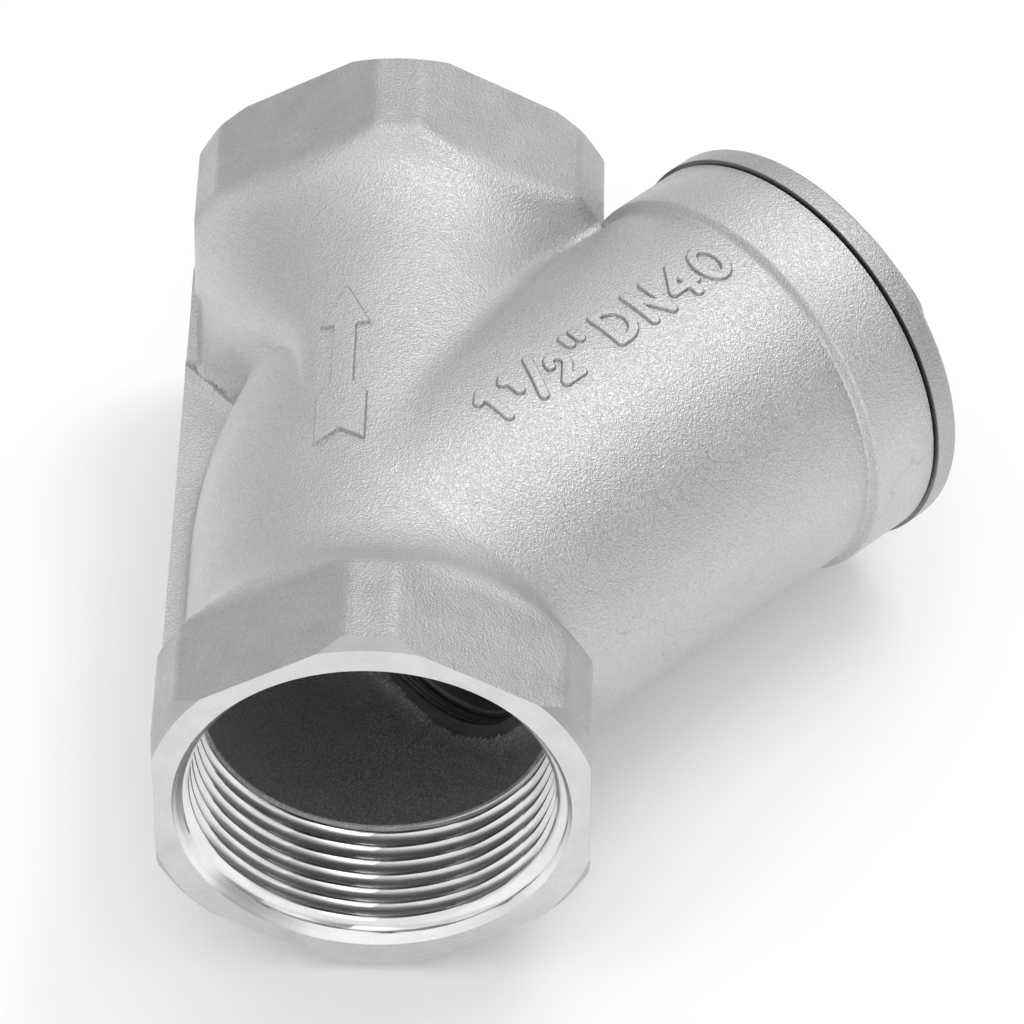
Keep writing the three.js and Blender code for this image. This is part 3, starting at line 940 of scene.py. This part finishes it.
# Each character is a list of strokes in units of MARK_HEIGHT.
CHARACTERS = {
    "1": [[(0, 0.76), (0.26, 0.98), (0.26, 0)]],
    "/": [[(0, -0.05), (0.48, 1.02)]],
    "2": [[*arc(0.3, 0.68, 0.28, 0.3, 170, -30), (0, 0), (0.62, 0)]],
    "'": [[(0, 0.98), (0, 0.72)]],
    "D": [[(0, 0), (0, 1), (0.2, 1), *arc(0.2, 0.5, 0.46, 0.5, 90, -90), (0, 0)]],
    "N": [[(0, 0), (0, 1), (0.6, 0), (0.6, 1)]],
    "4": [[(0.5, 0), (0.5, 1), (0, 0.32), (0.7, 0.32)]],
    "0": [[*arc(0.32, 0.5, 0.32, 0.5, 0, 360, 20)]],
}
# Each character of the mark: where it starts along the branch, how far it is lifted, and its scale.
MARK = (("1", 16.9, 0, 1), ("1", 21.4, 0.42, 0.58), ("/", 24.0, 0, 1), ("2", 27.7, -0.08, 0.8),
        ("'", 32.4, 0, 1), ("'", 34.1, 0, 1), ("D", 37.6, 0, 1), ("N", 43.3, 0, 1), ("4", 48.4, 0, 1),
        ("0", 53.8, 0, 1))
MARK_MIDDLE = (MARK[0][1] + MARK[-1][1] + LAST_WIDTH) / 2
MARK_SIZE = ((MARK[-1][1] + LAST_WIDTH - MARK[0][1]) / 2 + 1.0, MARK_HEIGHT / 2 + 1.4)


def mark_height(s, t):
    distance = np.full(s.shape, np.inf)
    for letter, start, lift, scale in MARK:
        size = MARK_HEIGHT * scale
        for stroke in CHARACTERS[letter]:
            placed = [(start - MARK_MIDDLE + x * size, (y * scale + lift - 0.5) * MARK_HEIGHT)
                      for x, y in stroke]
            for a, b in zip(placed, placed[1:]):
                distance = np.minimum(distance, segment_distance(s, t, a, b))
    return rise_share(STROKE - distance)


def on_branch(s, t, height):
    """Flat coordinates on the branch: s away from the run and t round towards the outlet."""
    angle = MARK_BASE_ANGLE + (t + MARK_HEIGHT / 2) / BRANCH_RADIUS
    outward = np.stack([np.cos(angle), np.zeros_like(s), np.sin(angle)], axis=-1)
    base = np.stack([np.zeros_like(s), MARK_MIDDLE + s, np.zeros_like(s)], axis=-1)
    turn = [along_branch(part.reshape(-1, 3)).reshape(part.shape) for part in (base, outward)]
    return settle(*turn, height)


# ---- Cap, gasket and screen ----

def make_cap():
    reach = BOSS_FLAT * 1.2
    low, high = (-reach, FLANGE[1] - 2.5, -reach), (reach, BOSS_END + 1, reach)
    points, faces = dual_contour(boss_field, low, high, BOSS_STEP)
    cap = make_object("strainer_cap", along_branch(points), faces.tolist(), [])
    for rows in (flange_rows(), skirt_rows()):
        cut(cap, tool_object(*turned(rows, THREAD_SEGMENTS), along_branch), "UNION")
    hollow = [(SKIRT_END - 1, SKIRT_BORE), (FLANGE[0] - 1.3, SKIRT_BORE)]
    hollow.append((FLANGE[0] - 1.0, SKIRT_BORE - 0.3))
    cut(cap, tool_object(*turned(hollow, RING_SEGMENTS), along_branch))
    centre = face_centres(cap.data)
    along = (centre[:, 0] + centre[:, 1]) * ROOT_HALF
    # The flange's face towards the gasket takes the painted shade of the gap.
    layers = ((along < FLANGE[0] + 0.05, branch_face_shaded), (along < FLANGE[0] - 0.2, branch_thread_steel))
    paint(cap.data, (cap_cast_shaded, branch_face_shaded, branch_thread_steel), layers)
    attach(cap, "cap")
    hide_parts("cap")


def rounded_section(inner, outer, start, end, bevel, steps=4):
    """A rectangle in radius and height with rounded corners."""
    corners = [(outer - bevel, start + bevel, -90), (outer - bevel, end - bevel, 0),
               (inner + bevel, end - bevel, 90), (inner + bevel, start + bevel, 180)]
    section = []
    for r, y, turn in corners:
        for step in range(steps + 1):
            angle = math.radians(turn + 90 * step / steps)
            section.append((r + bevel * math.cos(angle), y + bevel * math.sin(angle)))
    return section


def make_ring(name, node, body, material, section):
    points, faces = ring_of(section, RING_SEGMENTS)
    piece = make_object(name, along_branch(points), faces, [material])
    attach(piece, body)
    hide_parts(node)


def hole_rim(across, along):
    """Points round a hole in the middle of a unit cell; the radii are in cells."""
    angles = [2 * math.pi * corner / HOLE_CORNERS for corner in range(HOLE_CORNERS)]
    return [(0.5 + across * math.cos(angle), 0.5 + along * math.sin(angle)) for angle in angles]


def cell_sides():
    """Points round the sides of a unit cell, at its corners and quarter points, one for each rim point."""
    sides = []
    for corner in range(HOLE_CORNERS):
        angle = 2 * math.pi * corner / HOLE_CORNERS
        x, y = math.cos(angle), math.sin(angle)
        reach = 2 * max(abs(x), abs(y))
        sides.append(tuple(round(4 * (0.5 + part / reach)) / 4 for part in (x, y)))
    return sides


def perforated_tube(start, end):
    """Points and faces of a sheet rolled into a tube, with round holes in staggered rows."""
    wide, high = 2 * math.pi / SHEET_COLUMNS, (end - start) / SHEET_ROWS
    radii = (SHEET_RADIUS - SHEET_THICKNESS, SHEET_RADIUS)
    rim, sides = hole_rim(HOLE_RADIUS / (wide * SHEET_RADIUS), HOLE_RADIUS / high), cell_sides()
    points, faces, known = [], [], {}

    def vertex(across, along, level):
        """The vertex at a place counted in cells, made once and shared."""
        key = (round(across % SHEET_COLUMNS, 5) % SHEET_COLUMNS, round(along, 5), level)
        if key not in known:
            known[key] = len(points)
            turn, radius = across * wide, radii[level]
            points.append((radius * math.cos(turn), start + along * high, radius * math.sin(turn)))
        return known[key]

    for row in range(SHEET_ROWS):
        for column in range(SHEET_COLUMNS):
            left = column + 0.5 * (row % 2)
            holes, edges = ([[vertex(left + x, row + y, level) for x, y in places] for level in (0, 1)]
                            for places in (rim, sides))
            for i in range(HOLE_CORNERS):
                j = (i + 1) % HOLE_CORNERS
                faces.append([holes[0][i], holes[0][j], edges[0][j], edges[0][i]])
                faces.append([holes[1][i], edges[1][i], edges[1][j], holes[1][j]])
                faces.append([holes[0][i], holes[1][i], holes[1][j], holes[0][j]])
                ends = {sides[i][1], sides[j][1]}
                if (row == 0 and ends == {0}) or (row == SHEET_ROWS - 1 and ends == {1}):
                    faces.append([edges[0][i], edges[0][j], edges[1][j], edges[1][i]])
    return np.array(points), faces


def make_screen():
    """The screen: a ring at each end, with the perforated sheet and the wire liner between them."""
    ring_low = (SEAT_LEDGE + GAP, SEAT_LEDGE + GAP + RING_LENGTH)
    ring_high = (FLANGE[0] - 1.3 - RING_LENGTH, FLANGE[0] - 1.3)
    for name, span in (("seat_ring", ring_low), ("cap_ring", ring_high)):
        section = rounded_section(*RING_RADII, *span, bevel=0.35)
        make_ring(name, "screen_" + name, "screen_set", screen_steel, section)
    start, end = ring_low[1] + GAP, ring_high[0] - GAP
    points, faces = perforated_tube(start, end)
    sheet = make_object("perforated_sheet", along_branch(points), faces, [screen_steel])
    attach(sheet, "screen_set")
    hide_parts("screen_sheet")
    inner, outer = LINER_RADII
    make_ring("wire_liner", "screen_liner", "screen_set", cloth,
              [(inner, start), (outer, start), (outer, end), (inner, end)])


make_body()
surface_mark("flow_arrow", arrow_height, ARROW_SIZE, on_run, "housing", ARROW_RISE)
surface_mark("size_mark", mark_height, MARK_SIZE, on_branch, "housing", MARK_RISE)
make_cap()
make_ring("gasket_ring", "cap_gasket", "gasket", gasket_white,
          rounded_section(*GASKET_RADII, POCKET_FLOOR + GAP, FLANGE[0] - GAP, bevel=0.25))
make_screen()


# ---- Floor, light and camera ----

# The floor glows a little, as a white sweep lit from below does.
FLOOR_GLOW = 0.12
FLOOR_HALF = 3.0

# Light offsets are in metres from the middle of the object.
KEY_OFFSET = Vector((0.386, 0.307, 0.869))
KEY_SIZE = (0.4, 0.4)
KEY_POWER = 1.65
FRONT_OFFSET = Vector((0.1, -0.95, 0.42))
FRONT_SIZE = (0.6, 0.3)
FRONT_POWER = 0.9

# Brightness of the studio around the object: at the horizon and below, and from SKY_TOP upwards.
SKY_LOW = 0.66
SKY_HIGH = 1.0
SKY_TOP = 0.8

# Dark flags in the studio: direction, the cosines where the flag is full and ends, and the light left.
FLAGS = (((0.90, -0.21, 0.38), 0.96, 0.80, 0.48), ((-0.70, 0.71, 0.06), 0.95, 0.75, 0.70))

# Camera offsets are in millimetres from the junction.
CAMERA_OFFSET = Vector((31.33, -610.33, 621.77))
CAMERA_AIM = Vector((15.73, 19.42, 0.0))
CAMERA_LENS = 246.1


def matte(name, level):
    shader = Shader(name, (level, level, level), 0.9, metallic=0.0)
    shader.bsdf.inputs["Emission Color"].default_value = (1, 1, 1, 1)
    shader.bsdf.inputs["Emission Strength"].default_value = FLOOR_GLOW
    cloud = shader.noise(0.4, 2.0)
    return shader.finish(shader.blend(cloud, grey(level), grey(level * 0.995)))


def make_floor():
    size, z = FLOOR_HALF, cad_bounds[0][2] - 0.0002
    corners = [(-size, -size, z), (size, -size, z), (size, size, z), (-size, size, z)]
    mesh = bpy.data.meshes.new("floor")
    mesh.from_pydata(corners, [], [(0, 1, 2, 3)])
    floor = bpy.data.objects.new("floor", mesh)
    bpy.context.scene.collection.objects.link(floor)
    mesh.materials.append(matte("floor_white", 0.93))


def area_light(name, place, aim, size, power):
    light = bpy.data.lights.new(name, "AREA")
    light.shape = "RECTANGLE"
    light.size, light.size_y = size
    light.energy = power
    lamp = bpy.data.objects.new(name, light)
    bpy.context.scene.collection.objects.link(lamp)
    lamp.location = place
    lamp.rotation_euler = (Vector(aim) - Vector(place)).to_track_quat("-Z", "Y").to_euler()


def make_world():
    world = bpy.data.worlds.new("studio")
    bpy.context.scene.world = world
    world.use_nodes = True
    tree = world.node_tree
    background = tree.nodes["Background"]
    place = tree.nodes.new("ShaderNodeTexCoord")
    split = tree.nodes.new("ShaderNodeSeparateXYZ")
    ramp = tree.nodes.new("ShaderNodeValToRGB")
    tree.links.new(place.outputs["Generated"], split.inputs[0])
    tree.links.new(split.outputs["Z"], ramp.inputs["Fac"])
    light = ramp.outputs["Color"]
    for direction, narrow, wide, left in FLAGS:
        facing = tree.nodes.new("ShaderNodeVectorMath")
        facing.operation = "DOT_PRODUCT"
        facing.inputs[1].default_value = direction
        tree.links.new(place.outputs["Generated"], facing.inputs[0])
        fade = tree.nodes.new("ShaderNodeMapRange")
        for socket, value in (("From Min", wide), ("From Max", narrow), ("To Min", 1.0), ("To Max", left)):
            fade.inputs[socket].default_value = value
        tree.links.new(facing.outputs["Value"], fade.inputs["Value"])
        dim = tree.nodes.new("ShaderNodeVectorMath")
        dim.operation = "SCALE"
        tree.links.new(light, dim.inputs[0])
        tree.links.new(fade.outputs["Result"], dim.inputs["Scale"])
        light = dim.outputs["Vector"]
    tree.links.new(light, background.inputs["Color"])
    low, high = ramp.color_ramp.elements
    low.position, high.position = 0.0, SKY_TOP
    low.color, high.color = grey(SKY_LOW), grey(SKY_HIGH)
    background.inputs["Strength"].default_value = 1.0


def make_camera():
    camera = bpy.data.objects.new("camera", bpy.data.cameras.new("camera"))
    bpy.context.scene.collection.objects.link(camera)
    camera.location = junction + CAMERA_OFFSET * MM
    aim = junction + CAMERA_AIM * MM
    camera.rotation_euler = (aim - camera.location).to_track_quat("-Z", "Y").to_euler()
    camera.data.sensor_width = 36
    camera.data.lens = CAMERA_LENS
    camera.data.clip_end = 20
    bpy.context.scene.camera = camera


middle = (Vector(cad_bounds[0]) + Vector(cad_bounds[1])) / 2
make_floor()
make_world()
area_light("key", middle + KEY_OFFSET, middle, KEY_SIZE, KEY_POWER)
area_light("front", middle + FRONT_OFFSET, middle, FRONT_SIZE, FRONT_POWER)
make_camera()
bpy.context.scene.view_settings.view_transform = "Standard"
